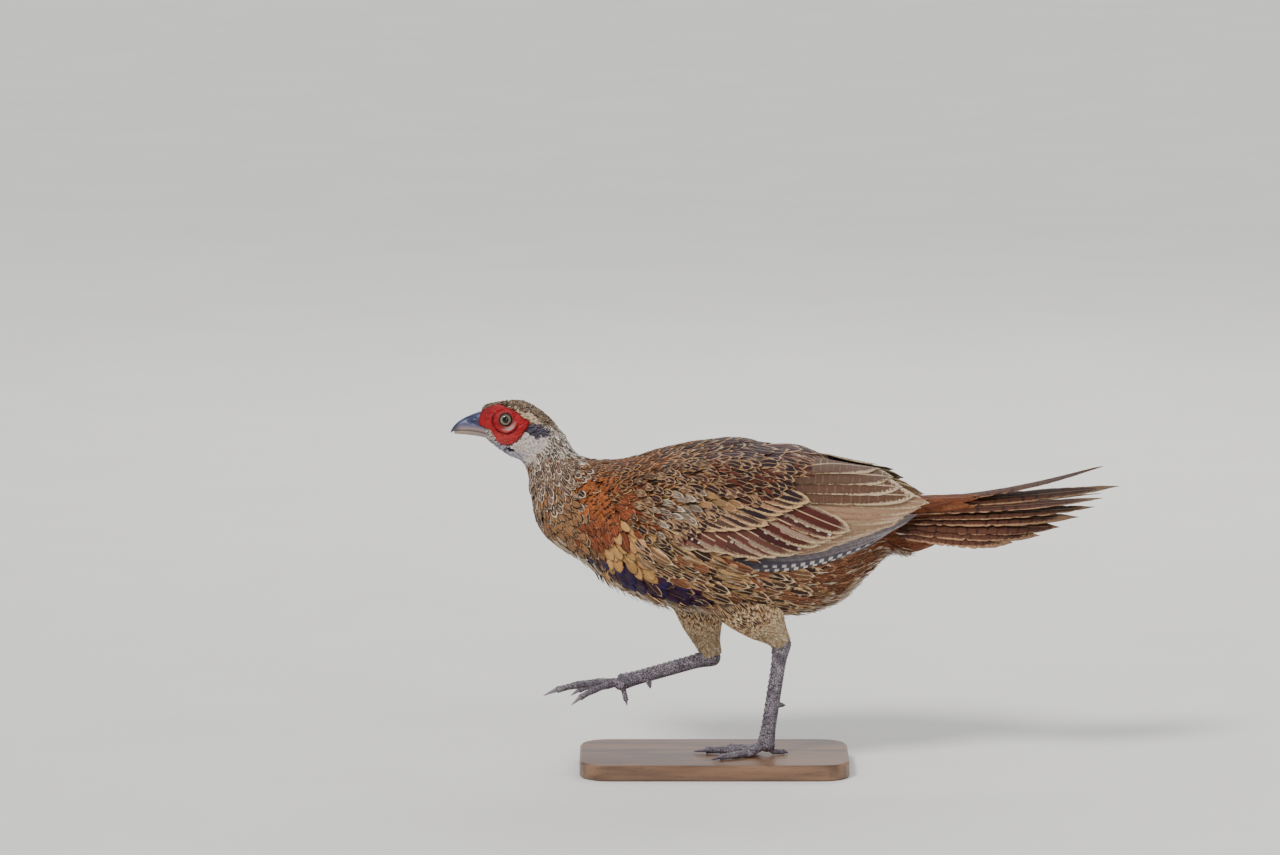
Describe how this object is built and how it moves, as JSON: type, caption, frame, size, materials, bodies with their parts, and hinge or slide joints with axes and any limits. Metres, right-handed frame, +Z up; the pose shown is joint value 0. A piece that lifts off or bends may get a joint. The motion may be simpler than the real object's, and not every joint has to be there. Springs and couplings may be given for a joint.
{
  "type": "common pheasant model",
  "caption": "Life-size young male pheasant in moult, walking on one foot with the other raised, on a low rounded base.",
  "frame": {"origin": "middle of the underside of the base, under the standing foot", "axes": "+Z up, -X the way the bird faces, -Y its left side"},
  "size_m": [0.4955, 0.13, 0.2764],
  "materials": {
    "crown": "short speckled head feathers",
    "bill": "slate horn",
    "wattle": "scarlet bare skin in folds",
    "eye": "wet dark eye",
    "plumage": "barred and edged body feathers",
    "wing": "barred flight feathers and coverts",
    "tail": "barred chestnut tail feathers",
    "thigh": "short tan leg feathers",
    "leg": "grey scaly shank and toes",
    "claw": "worn grey horn",
    "base": "satin brown wood"
  },
  "bodies": {
    "root": {"stand_base": "base", "head": "crown", "bill_upper": "bill", "bill_lower": "bill", "eye_left": "eye", "eye_right": "eye", "wattle_left": "wattle", "wattle_right": "wattle", "neck": "plumage", "torso": "plumage", "wing_left": "wing", "wing_right": "wing", "tail": "tail", "thigh_left": "thigh", "shank_left": "leg", "foot_left": "leg", "claw_left_inner": "claw", "claw_left_middle": "claw", "claw_left_outer": "claw", "claw_left_hind": "claw", "thigh_right": "thigh", "shank_right": "leg", "foot_right": "leg", "claw_right_inner": "claw", "claw_right_middle": "claw", "claw_right_outer": "claw", "claw_right_hind": "claw"}
  },
  "joints": []
}
